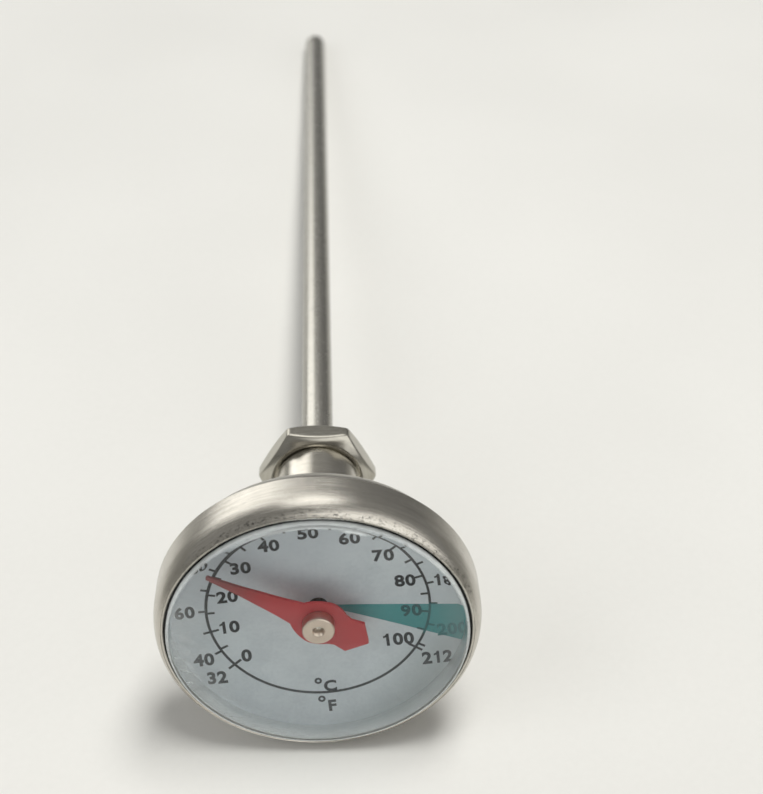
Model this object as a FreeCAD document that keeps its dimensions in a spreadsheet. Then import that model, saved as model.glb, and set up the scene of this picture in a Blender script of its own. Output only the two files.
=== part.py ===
"""Dial thermometer with a rear stem: a crimped stainless head, a domed lens, a printed dial, a
long closed stem with a bimetal helix in its end, and a hexagon nut behind the neck that turns the
stem against the dial.

Frame, in millimetres: the stem lies along +Y, the dial faces -Y, and +Z is the dial's twelve
o'clock. The origin is on the stem axis at the hexagon nut's stem-side face, the plane the
insertion length is measured from. Front means towards -Y, rear towards +Y.
"""

import FreeCAD, Part
import math
import os
import Sketcher
from FreeCAD import Rotation, Vector

# Driving dimensions: alias, value, meaning. Places along Y are negative on the head side of the
# nut's stem-side face and positive on the tip side.
DIMENSIONS = [
    ("case_rad", 22.5, "bezel ring outside radius"),
    ("sheet_th", 0.6, "drawn sheet thickness of the ring and the cup"),
    ("ring_rear", -30.5, "rear edge of the bezel ring"),
    ("ring_shoulder", -35.9, "where the ring's side wall turns into its front bead"),
    ("ring_crest", -37.65, "foremost point of the ring's bead"),
    ("lip_rad", 20.8, "inside radius of the ring's rolled lip"),
    ("cup_front", -36.0, "front edge of the cup"),
    ("cup_back", -26.0, "outer face of the cup's back"),
    ("cup_rad", 21.85, "cup outside radius under the ring"),
    ("cup_rear_rad", 21.45, "cup outside radius behind the ring"),
    ("cup_corner", 4.3, "corner radius between the cup's wall and back"),
    ("cup_hole_rad", 4.6, "hole in the cup's back for the neck's tenon"),
    ("dial_rad", 21.1, "dial plate radius"),
    ("dial_th", 0.5, "dial plate thickness"),
    ("dial_front", -31.66, "printed face of the dial"),
    ("dial_hole_rad", 1.25, "dial centre hole radius"),
    ("seat_in_rad", 18.3, "dial seat ring inside radius under the dial"),
    ("seat_foot_rad", 16.4, "dial seat ring inside radius on the cup's back"),
    ("stack_rad", 21.2, "outside radius of the rings stacked in the cup"),
    ("spacer_in_rad", 19.7, "spacer ring inside radius at the dial"),
    ("spacer_lens_rad", 19.95, "spacer ring inside radius at the lens"),
    ("lens_back", -36.05, "rear edge of the lens, where it rests on the spacer"),
    ("lens_hollow_rad", 20.0, "radius of the lens's hollow rear face"),
    ("lens_hollow", -38.86, "middle of the lens's hollow rear face"),
    ("lens_flange", 0.75, "thickness of the lens flange under the lip"),
    ("lens_rad", 21.8, "lens flange radius"),
    ("lens_step_rad", 20.6, "radius of the part of the lens inside the lip"),
    ("lens_bevel_front", -38.2, "where the lens bevel meets its dome"),
    ("lens_bevel_rad", 20.1, "radius where the lens bevel meets its dome"),
    ("lens_apex", -43.2, "middle of the lens dome"),
    ("gasket_th", 0.25, "lens gasket thickness"),
    ("neck_rad", 6.7, "neck sleeve outside radius"),
    ("neck_rear", -4.5, "stem-side end of the neck sleeve"),
    ("neck_bore_rad", 5.2, "neck bore radius over the bush"),
    ("neck_step", -20.0, "where the neck bore narrows"),
    ("neck_small_rad", 4.08, "narrow neck bore radius"),
    ("tenon_rad", 4.55, "neck tenon radius through the cup's back"),
    ("tenon_front", -27.55, "head-side end of the neck tenon"),
    ("bush_front", -12.0, "head-side end of the neck bush"),
    ("bush_rear", -4.7, "stem-side end of the neck bush"),
    ("spigot_rad", 4.0, "nut spigot radius"),
    ("spigot_front", -28.9, "head-side end of the nut spigot"),
    ("clip_front", -28.1, "head-side face of the retaining clip"),
    ("clip_th", 0.5, "retaining clip thickness"),
    ("clip_seat_rad", 3.4, "groove radius for the clip"),
    ("nut_af", 16.0, "nut size across flats"),
    ("nut_len", 4.0, "nut length"),
    ("nut_chamfer", 0.75, "nut corner chamfer along the axis"),
    ("nut_edge", 0.85, "how far the front chamfer reaches in from the flats"),
    ("nut_rear_edge", 0.5, "how far the rear chamfer reaches in from the flats"),
    ("washer_th", 0.4, "friction washer thickness"),
    ("stem_rad", 2.5, "stem outside radius"),
    ("stem_root_rad", 2.3, "stem radius inside the nut"),
    ("stem_bore", 2.05, "stem inside radius"),
    ("stem_front", -28.6, "head-side end of the stem tube"),
    ("stem_end", 176.5, "stem tip"),
    ("stem_floor", 1.4, "thickness of the closed tip on the axis"),
    ("shaft_rad", 0.5, "pointer shaft radius"),
    ("shaft_front", -35.0, "pointer end of the shaft"),
    ("shaft_rear", 163.6, "coil end of the shaft"),
    ("guide_bore", 0.55, "bore radius of the shaft guides"),
    ("guide_len", 3.0, "length of a shaft guide"),
    ("bush_len", 4.0, "length of the top shaft bush"),
    ("guide_mid", 42.0, "head-side end of the middle shaft guide"),
    ("guide_low", 113.0, "head-side end of the lower shaft guide"),
    ("collar_front", 119.0, "head-side end of the coil collar"),
    ("collar_len", 5.2, "coil collar length"),
    ("collar_rad", 1.85, "coil collar radius"),
    ("coil_front", 122.2, "head-side end of the bimetal coil"),
    ("coil_len", 44.0, "length of the bimetal coil"),
    ("coil_pitch", 2.2, "pitch of the bimetal coil"),
    ("coil_in_rad", 1.45, "bimetal coil inside radius"),
    ("coil_strip_th", 0.3, "bimetal strip thickness"),
    ("coil_strip_w", 1.7, "bimetal strip width"),
    ("plug_front", 168.4, "head-side end of the coil anchor plug"),
    ("plug_len", 5.0, "coil anchor plug length"),
    ("blade_front", -34.3, "front face of the pointer"),
    ("blade_th", 0.4, "pointer sheet thickness"),
    ("hub_rad", 2.08, "pointer hub radius"),
    ("hub_front", -35.65, "front face of the pointer hub"),
    ("hub_foot_rad", 1.6, "pointer hub radius under the blade"),
    ("hub_rear", -32.4, "rear end of the pointer hub"),
]

NUT_TURN = 6.5  # degrees the nut's flat stands clockwise of twelve o'clock
POINTER_TURN = -54.8  # degrees clockwise from twelve o'clock: the reading at rest
CLIP_REACH = 142  # degrees the retaining clip runs to each side of twelve o'clock

# Gaps between neighbouring pieces
PRESS_GAP = 0.01
FIT_GAP = 0.02
SEAT_GAP = 0.03
GROOVE_GAP = 0.04
RUN_GAP = 0.05

CUT_OVER = 0.5  # how far the nut's turned cuts run past its faces

# Right half of the pointer blade at twelve o'clock, from its point down: (x, z)
BLADE_SIDE = [
    (0.28, 16.3), (0.5, 13.4), (0.65, 11.6), (1.04, 8.6), (1.36, 6.0), (1.85, 3.1), (2.44, 2.4),
    (3.08, 1.25), (3.5, -0.3), (3.2, -1.7), (2.6, -2.75), (2.35, -3.5), (2.6, -5.3),
]
BLADE_TAIL = (0.0, -7.35)

# The side of an outline an arc bulges to, seen along the outline's direction of travel
LEFT, RIGHT = 1, -1


class Dim:
    """A size with its number and its spreadsheet expression, so that a sketch starts solved."""

    def __init__(self, value, text):
        self.value = float(value)
        self.text = text

    def _join(self, other, sign, value):
        text = other.text if isinstance(other, Dim) else repr(float(other))
        return Dim(value, "(%s %s %s)" % (self.text, sign, text))

    def __add__(self, other):
        return self._join(other, "+", self.value + number(other))

    def __sub__(self, other):
        return self._join(other, "-", self.value - number(other))

    def __mul__(self, other):
        return self._join(other, "*", self.value * number(other))

    def __truediv__(self, other):
        return self._join(other, "/", self.value / number(other))

    def __neg__(self):
        return Dim(-self.value, "(0 - %s)" % self.text)


class Sizes:
    """Holds every driving dimension as an attribute."""


def number(value):
    return value.value if isinstance(value, Dim) else float(value)


doc = FreeCAD.newDocument("dial_thermometer")
sheet = doc.addObject("Spreadsheet::Sheet", "Dims")
size = Sizes()
for row, (alias, value, note) in enumerate(DIMENSIONS, start=1):
    sheet.set("A%d" % row, alias)
    sheet.set("B%d" % row, repr(value))
    sheet.set("C%d" % row, note)
    sheet.setAlias("B%d" % row, alias)
    setattr(size, alias, Dim(value, "Dims." + alias))
doc.recompute()

# Places and sizes that several pieces share
flange_front = size.lens_back - size.lens_flange
gasket_front = flange_front - size.gasket_th
gasket_in_rad = size.lens_step_rad + SEAT_GAP
seat_front = size.dial_front + size.dial_th
cup_floor = size.cup_back - size.sheet_th
nut_front = -size.nut_len
nut_bore_rad = size.stem_root_rad + FIT_GAP
in_stem_rad = size.stem_bore - FIT_GAP
in_coil_rad = size.coil_in_rad - PRESS_GAP
on_shaft_rad = size.shaft_rad + PRESS_GAP


def bind(item, path, value):
    """Ties a property or constraint to the spreadsheet if its value comes from there."""
    if isinstance(value, Dim):
        item.setExpression(path, value.text)


def new_sketch(body, name, role):
    sketch = body.newObject("Sketcher::SketchObject", name)
    plane = [f for f in body.Origin.OriginFeatures if f.Role == role][0]
    sketch.AttachmentSupport = (plane, [""])
    sketch.MapMode = "FlatFace"
    return sketch


def constrain(sketch, kind, where, value):
    index = sketch.addConstraint(Sketcher.Constraint(kind, *where, number(value)))
    bind(sketch, "Constraints[%d]" % index, value)


def place(sketch, geo, pos, x, y):
    """Fixes one point of the sketch by its distances from the origin."""
    for kind, distance, axis in (("DistanceX", x, -2), ("DistanceY", y, -1)):
        if not isinstance(distance, Dim) and abs(distance) < 1e-9:
            sketch.addConstraint(Sketcher.Constraint("PointOnObject", geo, pos, axis))
        else:
            constrain(sketch, kind, (-1, 1, geo, pos), distance)


def outline(sketch, points, arcs=None):
    """A closed outline. arcs maps the index of a side to (radius, a point the arc runs through)."""
    arcs = arcs or {}
    first = sketch.GeometryCount
    count = len(points)
    corners = [Vector(number(x), number(y), 0) for x, y in points]
    ends = []
    for i in range(count):
        start, end = corners[i], corners[(i + 1) % count]
        if i in arcs:
            x, y = arcs[i][1]
            arc = Part.Arc(start, Vector(number(x), number(y), 0), end)
            geo = sketch.addGeometry(arc, False)
            # The sketch may store an arc with its ends swapped
            stored = sketch.getPoint(geo, 1)
            kept = (stored - start).Length < (stored - end).Length
            ends.append((1, 2) if kept else (2, 1))
        else:
            sketch.addGeometry(Part.LineSegment(start, end), False)
            ends.append((1, 2))
    for i in range(count):
        j = (i + 1) % count
        sketch.addConstraint(
            Sketcher.Constraint("Coincident", first + i, ends[i][1], first + j, ends[j][0])
        )
        place(sketch, first + i, ends[i][0], *points[i])
    for i, (radius, _) in arcs.items():
        constrain(sketch, "Radius", (first + i,), radius)


def rectangle(x_from, x_to, y_from, y_to):
    return [(x_from, y_from), (x_to, y_from), (x_to, y_to), (x_from, y_to)]


def circle(sketch, radius, centre=(0.0, 0.0)):
    middle = Vector(number(centre[0]), number(centre[1]), 0)
    geo = sketch.addGeometry(Part.Circle(middle, Vector(0, 0, 1), number(radius)), False)
    place(sketch, geo, 3, *centre)
    constrain(sketch, "Radius", (geo,), radius)


def minor_arcs(points, rounds):
    """Arcs for outline() from rounds, which maps a side's index to (radius, LEFT or RIGHT)."""
    arcs = {}
    for i, (radius, side) in rounds.items():
        x0, y0 = [number(v) for v in points[i]]
        x1, y1 = [number(v) for v in points[(i + 1) % len(points)]]
        chord = math.hypot(x1 - x0, y1 - y0)
        rad = number(radius)
        sag = rad - math.sqrt(max(rad * rad - chord * chord / 4, 0.0))
        shift = side * sag / chord
        through = ((x0 + x1) / 2 - (y1 - y0) * shift, (y0 + y1) / 2 + (x1 - x0) * shift)
        arcs[i] = (radius, through)
    return arcs


def revolve(body, name, sketch, cut=False):
    kind = "PartDesign::Groove" if cut else "PartDesign::Revolution"
    feature = body.newObject(kind, name)
    feature.Profile = sketch
    feature.ReferenceAxis = (sketch, ["V_Axis"])
    feature.Angle = 360.0
    body.Tip = feature


def revolved(body, name, points, rounds=None, cut=False):
    """Turns an outline drawn as (radius, Y) about the stem axis."""
    sketch = new_sketch(body, name + "_profile", "XY_Plane")
    outline(sketch, points, minor_arcs(points, rounds or {}))
    revolve(body, name, sketch, cut)


def extruded(body, name, sketch, front, length, cut=False):
    """Pads or pockets a sketch of the XZ plane along +Y. A pocket must take some volume away."""
    if cut:
        doc.recompute()
        before = body.Tip.Shape.Volume
    sketch.AttachmentOffset = FreeCAD.Placement(Vector(0, 0, -number(front)), Rotation())
    bind(sketch, "AttachmentOffset.Base.z", -front)
    feature = body.newObject("PartDesign::Pocket" if cut else "PartDesign::Pad", name)
    feature.Profile = sketch
    feature.Length = number(length)
    bind(feature, "Length", length)
    feature.Reversed = not cut
    body.Tip = feature
    if cut:
        doc.recompute()
        if before - feature.Shape.Volume < 0.05:
            raise SystemExit("the pocket %s in %s cuts nothing" % (name, body.Label))


def at_clock(radius, degrees):
    """(x, z) at an angle clockwise from twelve o'clock, seen from the dial side."""
    angle = math.radians(degrees)
    return radius * math.sin(angle), radius * math.cos(angle)


def turned(x, z, degrees):
    """(x, z) after a clockwise turn seen from the dial side."""
    angle = math.radians(degrees)
    cos, sin = math.cos(angle), math.sin(angle)
    return x * cos + z * sin, -x * sin + z * cos


def dome_radius(edge_rad, rise):
    """Radius of the sphere whose cap has this edge radius and height."""
    return (edge_rad * edge_rad + rise * rise) / (rise * 2)


def bezel_ring(body):
    """Side wall, rounded front bead, rolled lip over the lens, rear edge crimped behind the cup's
    step."""
    edge_round = 0.25
    bead_round = 1.85
    lip_round = 0.42
    crimp_th = 0.5
    wall_in_rad = size.case_rad - size.sheet_th
    lip_rear = gasket_front - FIT_GAP
    grip_rad = size.cup_rear_rad + RUN_GAP
    revolved(
        body,
        "rolled_ring",
        [
            (size.case_rad - edge_round, size.ring_rear),
            (size.case_rad, size.ring_rear - edge_round),
            (size.case_rad, size.ring_shoulder),
            (size.lip_rad + 0.45, size.ring_crest),
            (size.lip_rad, size.ring_crest + 0.4),
            (size.lip_rad, lip_rear),
            (wall_in_rad, lip_rear),
            (wall_in_rad, size.ring_rear - crimp_th),
            (grip_rad, size.ring_rear - crimp_th),
            (grip_rad, size.ring_rear),
        ],
        {0: (edge_round, LEFT), 2: (bead_round, LEFT), 3: (lip_round, LEFT)},
    )


def lens(body):
    """A dome with a hollow rear face and a bevelled step inside the lip, on a thin flange."""
    bevel_len = 0.18
    hollow_round = dome_radius(size.lens_hollow_rad, size.lens_back - size.lens_hollow)
    dome_round = dome_radius(size.lens_bevel_rad, size.lens_bevel_front - size.lens_apex)
    revolved(
        body,
        "domed_glass",
        [
            (0.0, size.lens_hollow),
            (size.lens_hollow_rad, size.lens_back),
            (size.lens_rad, size.lens_back),
            (size.lens_rad, flange_front),
            (size.lens_step_rad, flange_front),
            (size.lens_step_rad, size.lens_bevel_front + bevel_len),
            (size.lens_bevel_rad, size.lens_bevel_front),
            (0.0, size.lens_apex),
        ],
        {0: (hollow_round, RIGHT), 6: (dome_round, LEFT)},
    )


def lens_gasket(body):
    """A flat ring between the lens flange and the lip."""
    profile = rectangle(gasket_in_rad, size.lens_rad, flange_front, gasket_front)
    revolved(body, "flat_seal", profile)


def spacer_ring(body):
    """The inner wall between the dial and the lens, bevelled inside at the lens."""
    bevel = 0.15
    revolved(
        body,
        "bright_wall",
        [
            (size.spacer_in_rad, size.dial_front),
            (size.stack_rad, size.dial_front),
            (size.stack_rad, size.lens_back),
            (size.spacer_lens_rad + bevel, size.lens_back),
            (size.spacer_lens_rad, size.lens_back + bevel),
        ],
    )


def dial_plate(body):
    """A disc holed for the shaft, notched at six o'clock for the seat ring's key."""
    notch_half_w = 0.75
    notch_depth = 0.7
    clear = 1.0
    sketch = new_sketch(body, "disc_outline", "XZ_Plane")
    circle(sketch, size.dial_rad)
    circle(sketch, size.dial_hole_rad)
    extruded(body, "disc", sketch, size.dial_front, size.dial_th)
    sketch = new_sketch(body, "notch_outline", "XZ_Plane")
    low, high = -(size.dial_rad + clear), -(size.dial_rad - notch_depth)
    outline(sketch, rectangle(-notch_half_w, notch_half_w, low, high))
    front, length = size.dial_front - clear, size.dial_th + 2 * clear
    extruded(body, "key_notch", sketch, front, length, cut=True)


def dial_seat_ring(body):
    """Carries the dial off the cup's back. Its key stands in the dial's notch."""
    key_half_w = 0.65
    key_rise = 0.4
    key_len = 0.6
    revolved(
        body,
        "seat",
        [
            (size.seat_in_rad, seat_front),
            (size.stack_rad - 0.15, seat_front),
            (size.stack_rad - 0.15, seat_front + 0.26),
            (size.stack_rad - 0.5, seat_front + 0.66),
            (size.stack_rad - 0.7, cup_floor - 2.8),
            (size.stack_rad - 1.3, cup_floor - 1.6),
            (size.stack_rad - 2.4, cup_floor - 0.5),
            (size.seat_foot_rad + 0.7, cup_floor),
            (size.seat_foot_rad, cup_floor),
            (size.seat_foot_rad, cup_floor - 0.6),
            (size.seat_in_rad, cup_floor - 2.7),
        ],
    )
    sketch = new_sketch(body, "key_outline", "XZ_Plane")
    low, high = -(size.dial_rad - 0.1), -(size.dial_rad - 0.6)
    outline(sketch, rectangle(-key_half_w, key_half_w, low, high))
    extruded(body, "key", sketch, seat_front - key_rise, key_len)


def case_cup(body):
    """One drawn shell, stepped where the ring's rear edge grips it, holed for the neck."""
    wall_in_rad = size.cup_rad - size.sheet_th
    rear_in_rad = size.cup_rear_rad - size.sheet_th
    step = size.ring_rear - 0.55
    corner_start = size.cup_back - size.cup_corner
    flat_rad = size.cup_rear_rad - size.cup_corner
    revolved(
        body,
        "drawn_cup",
        [
            (wall_in_rad, size.cup_front),
            (size.cup_rad, size.cup_front),
            (size.cup_rad, step),
            (size.cup_rear_rad, step),
            (size.cup_rear_rad, corner_start),
            (flat_rad, size.cup_back),
            (size.cup_hole_rad, size.cup_back),
            (size.cup_hole_rad, cup_floor),
            (flat_rad, cup_floor),
            (rear_in_rad, corner_start),
            (rear_in_rad, corner_start - 0.1),
            (wall_in_rad, corner_start - 0.5),
        ],
        {4: (size.cup_corner, RIGHT), 8: (size.cup_corner - size.sheet_th, LEFT)},
    )


def neck_sleeve(body):
    """Joined to the cup by its tenon: a wide bore for the bush, a narrow one for the spigot."""
    chamfer = 0.3
    revolved(
        body,
        "sleeve",
        [
            (size.neck_small_rad, size.tenon_front),
            (size.tenon_rad, size.tenon_front),
            (size.tenon_rad, size.cup_back),
            (size.neck_rad, size.cup_back),
            (size.neck_rad, size.neck_rear - chamfer),
            (size.neck_rad - chamfer, size.neck_rear),
            (size.neck_bore_rad, size.neck_rear),
            (size.neck_bore_rad, size.neck_step),
            (size.neck_small_rad, size.neck_step),
        ],
    )


def neck_bush(body):
    """Brass, pressed into the sleeve's wide bore. The nut's spigot turns in it."""
    out_rad = size.neck_bore_rad - FIT_GAP
    in_rad = size.spigot_rad + RUN_GAP
    bevel = 0.25
    revolved(
        body,
        "bush",
        [
            (in_rad, size.bush_front),
            (out_rad, size.bush_front),
            (out_rad, size.bush_rear),
            (in_rad + bevel, size.bush_rear),
            (in_rad, size.bush_rear - bevel),
        ],
    )


def neck_o_ring(body):
    """Between the sleeve and the spigot, in front of the bush."""
    ahead_of_bush = 1.3
    sketch = new_sketch(body, "cord", "XY_Plane")
    cord_rad = (size.neck_bore_rad - size.spigot_rad) / 2 - RUN_GAP
    centre_rad = (size.neck_bore_rad + size.spigot_rad) / 2
    circle(sketch, cord_rad, (centre_rad, size.bush_front - ahead_of_bush))
    revolve(body, "ring_of_cord", sketch)


def calibration_nut(body):
    """A hexagon with a hollow spigot that runs through the neck to the clip inside the cup."""
    sketch = new_sketch(body, "hexagon", "XZ_Plane")
    corner_rad = size.nut_af / (2 * math.cos(math.radians(30)))
    outline(sketch, [at_clock(corner_rad, NUT_TURN + 30 + 60 * k) for k in range(6)])
    extruded(body, "hexagon_body", sketch, nut_front, size.nut_len)

    half_af = size.nut_af / 2
    beyond_rad = size.nut_af * 0.62
    # Feature name, inner radius, nut face, Y at the outer radius, end of the cut
    chamfers = [
        ("front_chamfer", half_af - size.nut_edge, nut_front,
         nut_front + size.nut_chamfer * 1.9, nut_front - CUT_OVER),
        ("rear_chamfer", half_af - size.nut_rear_edge, 0.0,
         -size.nut_chamfer * 1.8, CUT_OVER),
    ]
    for name, in_rad, face, slope_end, cut_end in chamfers:
        cutter = [
            (in_rad, face), (beyond_rad, slope_end), (beyond_rad, cut_end), (in_rad, cut_end)
        ]
        revolved(body, name, cutter, cut=True)

    bevel = 0.25
    spigot_root = nut_front + 1.0  # sunk into the hexagon
    groove_front = size.clip_front - GROOVE_GAP
    groove_rear = size.clip_front + size.clip_th + GROOVE_GAP
    revolved(
        body,
        "spigot",
        [
            (nut_bore_rad, size.spigot_front),
            (size.spigot_rad - bevel, size.spigot_front),
            (size.spigot_rad, size.spigot_front + bevel),
            (size.spigot_rad, groove_front),
            (size.clip_seat_rad, groove_front),
            (size.clip_seat_rad, groove_rear),
            (size.spigot_rad, groove_rear),
            (size.spigot_rad, spigot_root),
            (nut_bore_rad, spigot_root),
        ],
    )
    clear = 1.0
    sketch = new_sketch(body, "bore_outline", "XZ_Plane")
    circle(sketch, nut_bore_rad)
    front, length = size.spigot_front - clear, -size.spigot_front + 2 * clear
    extruded(body, "bore", sketch, front, length, cut=True)

    mouth_rad = size.stem_rad + 0.15
    inside_rad = size.stem_root_rad - 0.1
    revolved(
        body,
        "bore_mouth",
        [
            (inside_rad, -0.3),
            (nut_bore_rad, -0.2),
            (mouth_rad, 0.0),
            (mouth_rad, CUT_OVER),
            (inside_rad, CUT_OVER),
        ],
        cut=True,
    )


def friction_washer(body):
    """Between the nut and the neck sleeve."""
    rear = nut_front - SEAT_GAP
    in_rad, out_rad = size.spigot_rad + 0.1, size.neck_rad - 0.55
    revolved(body, "washer", rectangle(in_rad, out_rad, rear, rear - size.washer_th))


def retaining_clip(body):
    """An open ring in the spigot's groove, its gap at six o'clock."""
    in_rad, out_rad = size.clip_seat_rad + SEAT_GAP, size.clip_seat_rad + 1.85
    sketch = new_sketch(body, "clip_outline", "XZ_Plane")
    outline(
        sketch,
        [
            at_clock(in_rad, CLIP_REACH),
            at_clock(out_rad, CLIP_REACH),
            at_clock(out_rad, -CLIP_REACH),
            at_clock(in_rad, -CLIP_REACH),
        ],
        {1: (out_rad, at_clock(out_rad, 0)), 3: (in_rad, at_clock(in_rad, 0))},
    )
    extruded(body, "clip", sketch, size.clip_front, size.clip_th)


def stem_tube(body):
    """Thin wall, closed and rounded at the tip, reduced where it runs inside the nut."""
    floor = size.stem_end - size.stem_floor
    revolved(
        body,
        "closed_tube",
        [
            (size.stem_bore, size.stem_front),
            (size.stem_root_rad, size.stem_front),
            (size.stem_root_rad, 0.0),
            (size.stem_rad, 0.0),
            (size.stem_rad, size.stem_end - size.stem_rad),
            (0.0, size.stem_end),
            (0.0, floor),
            (size.stem_bore * 0.4, floor),
            (size.stem_bore, floor - size.stem_bore * 0.6),
        ],
        {4: (size.stem_rad, RIGHT)},
    )


def coil_anchor_plug(body):
    """Brass, pressed into the closed end. Its spigot fills the coil's last turn, and a driver
    slot crosses its rear face."""
    spigot_front = size.coil_front + size.coil_len - 1.9
    spigot_bevel = 0.15
    bevel = 0.3
    plug_rear = size.plug_front + size.plug_len
    revolved(
        body,
        "plug",
        [
            (0.0, spigot_front),
            (in_coil_rad - spigot_bevel, spigot_front),
            (in_coil_rad, spigot_front + spigot_bevel),
            (in_coil_rad, size.plug_front),
            (in_stem_rad - bevel, size.plug_front),
            (in_stem_rad, size.plug_front + bevel),
            (in_stem_rad, plug_rear),
            (0.0, plug_rear),
        ],
    )
    slot_half_w = 0.2
    slot_reach = 3.0
    slot_depth = 0.6
    cut_len = 2.0
    sketch = new_sketch(body, "slot_outline", "XZ_Plane")
    outline(sketch, rectangle(-slot_half_w, slot_half_w, -slot_reach, slot_reach))
    extruded(body, "slot", sketch, plug_rear - slot_depth, cut_len, cut=True)


def bored_guide(body, front, length):
    """A disc in the stem tube with a bore for the shaft and bevels at its front."""
    bevel = 0.2
    revolved(
        body,
        body.Label + "_turning",
        [
            (size.guide_bore + bevel, front),
            (in_stem_rad - bevel, front),
            (in_stem_rad, front + bevel),
            (in_stem_rad, front + length),
            (size.guide_bore, front + length),
            (size.guide_bore, front + bevel),
        ],
    )


def top_shaft_bush(body):
    bored_guide(body, size.stem_front + 0.3, size.bush_len)


def middle_shaft_guide(body):
    bored_guide(body, size.guide_mid, size.guide_len)


def lower_shaft_guide(body):
    bored_guide(body, size.guide_low, size.guide_len)


def bimetal_coil(body):
    """A flat strip wound as a long helix in the sensing end."""
    sketch = new_sketch(body, "strip_section", "XY_Plane")
    out_rad = size.coil_in_rad + size.coil_strip_th
    strip_rear = size.coil_front + size.coil_strip_w
    outline(sketch, rectangle(size.coil_in_rad, out_rad, size.coil_front, strip_rear))
    climb = size.coil_len - size.coil_strip_w
    helix = body.newObject("PartDesign::AdditiveHelix", "strip_helix")
    helix.Profile = sketch
    helix.ReferenceAxis = (sketch, ["V_Axis"])
    helix.Mode = 0  # sized by pitch and height
    helix.Pitch = number(size.coil_pitch)
    helix.Height = number(climb)
    bind(helix, "Pitch", size.coil_pitch)
    bind(helix, "Height", climb)
    helix.LeftHanded = False
    body.Tip = helix


def pointer_shaft(body):
    """Runs from the pointer hub into the coil, bevelled at both ends."""
    bevel = 0.1
    revolved(
        body,
        "spindle",
        [
            (0.0, size.shaft_front),
            (size.shaft_rad - bevel, size.shaft_front),
            (size.shaft_rad, size.shaft_front + bevel),
            (size.shaft_rad, size.shaft_rear - bevel),
            (size.shaft_rad - bevel, size.shaft_rear),
            (0.0, size.shaft_rear),
        ],
    )


def coil_collar(body):
    """Joins the shaft to the coil's front end."""
    bevel = 0.15
    shoulder = size.coil_front - 0.2
    collar_rear = size.collar_front + size.collar_len
    revolved(
        body,
        "collar",
        [
            (on_shaft_rad, size.collar_front),
            (size.collar_rad - bevel, size.collar_front),
            (size.collar_rad, size.collar_front + bevel),
            (size.collar_rad, shoulder),
            (in_coil_rad, shoulder),
            (in_coil_rad, collar_rear),
            (on_shaft_rad, collar_rear),
        ],
    )


def pointer_blade(body):
    """A long tapered needle, a round middle and a broad tail with a shallow point."""
    other_side = [(-x, z) for x, z in reversed(BLADE_SIDE)]
    blade = BLADE_SIDE + [BLADE_TAIL] + other_side
    sketch = new_sketch(body, "blade_outline", "XZ_Plane")
    outline(sketch, [turned(x, z, POINTER_TURN) for x, z in blade])
    circle(sketch, size.hub_foot_rad + FIT_GAP)
    extruded(body, "blade_sheet", sketch, size.blade_front, size.blade_th)


def pointer_hub(body):
    """Pressed through the blade and on to the shaft, its bore open at the front."""
    head_bevel = 0.15
    foot_bevel = 0.1
    revolved(
        body,
        "hub",
        [
            (on_shaft_rad, size.hub_front),
            (size.hub_rad - head_bevel, size.hub_front),
            (size.hub_rad, size.hub_front + head_bevel),
            (size.hub_rad, size.blade_front),
            (size.hub_foot_rad, size.blade_front),
            (size.hub_foot_rad, size.hub_rear - foot_bevel),
            (size.hub_foot_rad - foot_bevel, size.hub_rear),
            (on_shaft_rad, size.hub_rear),
        ],
    )


# Each piece takes its label from its function's name
PIECES = [
    bezel_ring, lens, lens_gasket, spacer_ring, dial_plate, dial_seat_ring, case_cup,
    neck_sleeve, neck_bush, neck_o_ring, calibration_nut, friction_washer, retaining_clip,
    stem_tube, coil_anchor_plug, top_shaft_bush, middle_shaft_guide, lower_shaft_guide,
    bimetal_coil, pointer_shaft, coil_collar, pointer_blade, pointer_hub,
]
bodies = []
for build in PIECES:
    body = doc.addObject("PartDesign::Body", build.__name__)
    body.Label = build.__name__
    build(body)
    bodies.append(body)

doc.recompute()
bad = [item.Name for item in doc.Objects if {"Invalid", "Error"} & set(item.State)]
for body in bodies:
    if body.Shape.isNull() or not body.Shape.isValid() or not body.Shape.Solids:
        bad.append(body.Label)
if bad:
    raise SystemExit("failed to build: %s" % sorted(set(bad)))

os.makedirs("parts", exist_ok=True)
for body in bodies:
    body.Shape.exportStep("parts/%s.step" % body.Label)
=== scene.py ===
"""A bimetal dial thermometer lying on a sloping table.

The stem's axis is Y. The dial faces -Y with twelve o'clock at +Z and three o'clock at +X. The rear
face of the hexagonal nut stands at y = 0 and the stem runs from there to +Y. Sizes are in
millimetres, and MM turns them into metres. Angles on the dial are degrees clockwise of twelve.
"""
import math
from functools import cache, cached_property

import bmesh
import bpy
from mathutils import Matrix, Vector


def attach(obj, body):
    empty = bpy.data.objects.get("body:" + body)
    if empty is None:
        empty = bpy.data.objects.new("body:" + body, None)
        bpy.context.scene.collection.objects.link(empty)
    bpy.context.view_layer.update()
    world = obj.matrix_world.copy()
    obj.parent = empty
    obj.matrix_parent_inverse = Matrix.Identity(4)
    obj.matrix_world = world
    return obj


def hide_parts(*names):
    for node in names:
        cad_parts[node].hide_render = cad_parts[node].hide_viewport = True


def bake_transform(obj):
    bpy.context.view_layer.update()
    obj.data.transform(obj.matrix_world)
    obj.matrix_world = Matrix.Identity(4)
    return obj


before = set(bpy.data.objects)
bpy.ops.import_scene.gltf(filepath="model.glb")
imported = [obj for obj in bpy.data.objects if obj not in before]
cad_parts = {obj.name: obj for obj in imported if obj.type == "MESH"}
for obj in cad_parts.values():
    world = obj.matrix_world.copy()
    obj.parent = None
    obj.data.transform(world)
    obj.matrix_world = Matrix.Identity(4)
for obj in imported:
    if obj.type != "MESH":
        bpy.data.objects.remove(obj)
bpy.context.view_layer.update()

MM = 0.001
TAU = 2 * math.pi

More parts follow.
